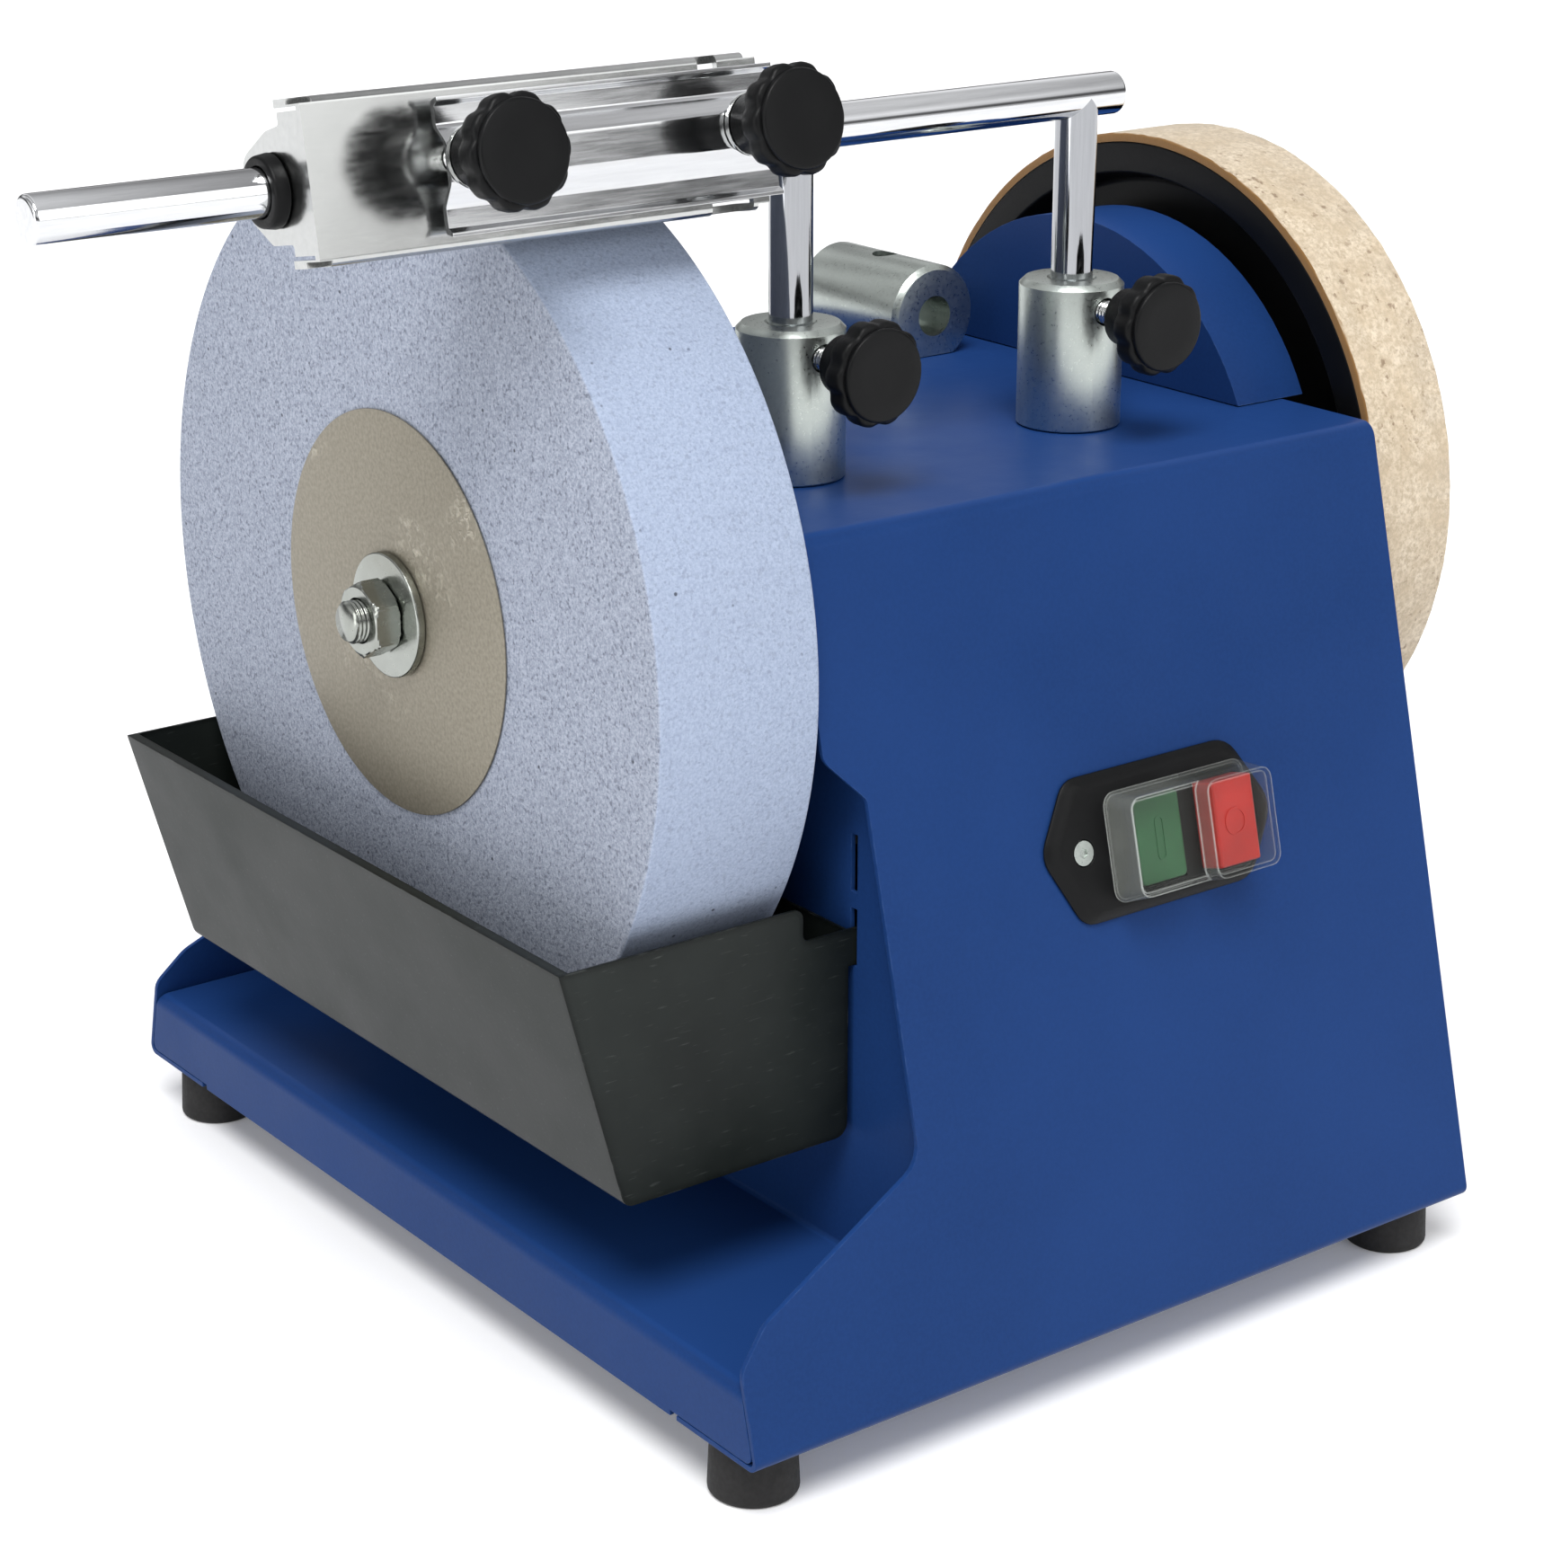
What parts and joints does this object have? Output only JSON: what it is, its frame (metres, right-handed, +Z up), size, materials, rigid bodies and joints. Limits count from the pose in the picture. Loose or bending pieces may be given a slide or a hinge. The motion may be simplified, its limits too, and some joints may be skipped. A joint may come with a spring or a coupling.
{
  "type": "wet grinding sharpener",
  "caption": "Slow wet grinder: grindstone and leather honing wheel on one friction-driven shaft, water tray, height-adjustable tool support and straight-edge jig.",
  "frame": {"origin": "on the floor, under the middle of the bounding box", "axes": "+X along the shaft from the grindstone to the honing wheel, switch panel faces -Y, +Z up"},
  "size_m": [0.4452, 0.332, 0.3617],
  "materials": {
    "blue_paint": "semi-gloss powder coat",
    "black_paint": "satin",
    "machined_steel": "satin turned",
    "chrome": "polished",
    "zinc": "bright zinc plate",
    "aluminium": "bright extruded",
    "black_plastic": "fine moulded grain",
    "rubber": "matte",
    "stone": "sintered abrasive",
    "paper": "blotter paper",
    "leather": "smooth side out",
    "green_plastic": "satin",
    "red_plastic": "gloss",
    "clear_plastic": "clear, gloss",
    "casting": "as cast",
    "bronze": "plain bearing"
  },
  "bodies": {
    "machine_base": {"housing_cover": "blue_paint", "left_wall_and_shelf": "blue_paint", "right_wall": "blue_paint", "bottom_plate": "black_paint", "drum_cover": "blue_paint", "foot_front_left": "rubber", "foot_rear_left": "rubber", "foot_front_right": "rubber", "foot_rear_right": "rubber", "vertical_sleeve_left": "machined_steel", "vertical_sleeve_right": "machined_steel", "rear_sleeve_left": "machined_steel", "rear_sleeve_right": "machined_steel", "cable_gland": "black_plastic", "left_shaft_bush": "bronze", "right_shaft_bush": "bronze", "motor_bracket": "zinc", "motor_pivot_pin": "machined_steel", "switch_plate": "black_plastic", "switch_body": "black_plastic", "switch_cover": "clear_plastic", "switch_screw": "machined_steel"},
    "shaft_and_wheels": {"main_shaft": "machined_steel", "grindstone": "stone", "stone_label": "paper", "stone_outer_washer": "zinc", "stone_inner_washer": "zinc", "stone_nut": "zinc", "drive_drum": "casting", "drum_tyre": "rubber", "honing_wheel": "black_plastic", "honing_leather": "leather", "honing_washer": "zinc", "honing_nut": "zinc"},
    "motor": {"motor_housing": "casting"},
    "motor_rotor": {"motor_spindle": "machined_steel"},
    "green_button": {"green_button": "green_plastic"},
    "red_button": {"red_button": "red_plastic"},
    "water_tray": {"water_tray": "black_paint"},
    "support": {"support_bar": "chrome", "support_leg_left": "chrome", "support_leg_right": "chrome"},
    "left_clamp_stud": {"sleeve_clamp_stud_left": "zinc"},
    "left_clamp_knob": {"sleeve_clamp_knob_left": "black_plastic"},
    "right_clamp_stud": {"sleeve_clamp_stud_right": "zinc"},
    "right_clamp_knob": {"sleeve_clamp_knob_right": "black_plastic"},
    "jig_bushes": {"jig_bush_left": "black_plastic", "jig_bush_right": "black_plastic"},
    "jig": {"jig_body": "zinc", "jig_stud_left": "zinc", "jig_stud_right": "zinc"},
    "jig_clamp": {"jig_clamp_plate": "aluminium", "jig_washer_left": "zinc", "jig_washer_right": "zinc"},
    "jig_left_knob": {"jig_knob_left": "black_plastic"},
    "jig_right_knob": {"jig_knob_right": "black_plastic"}
  },
  "joints": [
    {"name": "shaft_spin", "type": "hinge", "parent": "machine_base", "child": "shaft_and_wheels", "pos_m": [0, 0, 0.207], "axis": [1, 0, 0], "continuous": true},
    {"name": "motor_swing", "type": "hinge", "parent": "machine_base", "child": "motor", "pos_m": [0, 0.024, 0.219], "axis": [1, 0, 0], "range_deg": [0, 3]},
    {"name": "motor_spin", "type": "hinge", "parent": "motor", "child": "motor_rotor", "pos_m": [0, 0.045, 0.1369], "axis": [1, 0, 0], "continuous": true},
    {"name": "green_press", "type": "slide", "parent": "machine_base", "child": "green_button", "axis": [0, 0.9697, -0.2441], "range_m": [0, 0.003], "stiffness_N_per_m": 300, "springref_m": -0.003},
    {"name": "red_press", "type": "slide", "parent": "machine_base", "child": "red_button", "axis": [0, 0.9697, -0.2441], "range_m": [0, 0.003], "stiffness_N_per_m": 300, "springref_m": -0.003},
    {"name": "tray_lift", "type": "slide", "parent": "machine_base", "child": "water_tray", "axis": [0, 0, 1], "range_m": [0, 0.0048]},
    {"name": "support_height", "type": "slide", "parent": "machine_base", "child": "support", "axis": [0, 0, 1], "range_m": [-0.001, 0.06]},
    {"name": "left_clamp_travel", "type": "slide", "parent": "machine_base", "child": "left_clamp_stud", "axis": [0, -1, 0], "range_m": [0, 0.00251]},
    {"name": "left_clamp_turn", "type": "hinge", "parent": "left_clamp_stud", "child": "left_clamp_knob", "pos_m": [-0.0037, -0.09, 0.278], "axis": [0, -1, 0], "range_deg": [0, 720]},
    {"name": "right_clamp_travel", "type": "slide", "parent": "machine_base", "child": "right_clamp_stud", "axis": [0, -1, 0], "range_m": [0, 0.00251]},
    {"name": "right_clamp_turn", "type": "hinge", "parent": "right_clamp_stud", "child": "right_clamp_knob", "pos_m": [0.0969, -0.09, 0.278], "axis": [0, -1, 0], "range_deg": [0, 720]},
    {"name": "jig_slide", "type": "slide", "parent": "support", "child": "jig_bushes", "axis": [1, 0, 0], "range_m": [-0.055, 0.01]},
    {"name": "jig_tilt", "type": "hinge", "parent": "jig_bushes", "child": "jig", "pos_m": [-0.092, -0.0567, 0.3367], "axis": [1, 0, 0], "range_deg": [-72, 14]},
    {"name": "jig_clamp_open", "type": "slide", "parent": "jig", "child": "jig_clamp", "axis": [0, -0.9839, 0.1788], "range_m": [0, 0.00501]},
    {"name": "jig_left_knob_turn", "type": "hinge", "parent": "jig_clamp", "child": "jig_left_knob", "pos_m": [-0.118, -0.09552, 0.3468], "axis": [0, -0.9839, 0.1788], "range_deg": [0, 1440]},
    {"name": "jig_right_knob_turn", "type": "hinge", "parent": "jig_clamp", "child": "jig_right_knob", "pos_m": [-0.0363, -0.09552, 0.3468], "axis": [0, -0.9839, 0.1788], "range_deg": [0, 1440]}
  ],
  "couplings": [
    {"joint": "motor_spin", "follows": "shaft_spin", "ratio": -9.375},
    {"joint": "left_clamp_travel", "follows": "left_clamp_turn", "m_per_rad": 0.00019894},
    {"joint": "right_clamp_travel", "follows": "right_clamp_turn", "m_per_rad": 0.00019894},
    {"joint": "jig_clamp_open", "follows": "jig_left_knob_turn", "m_per_rad": 0.00019894},
    {"joint": "jig_right_knob_turn", "follows": "jig_left_knob_turn", "ratio": 1}
  ]
}
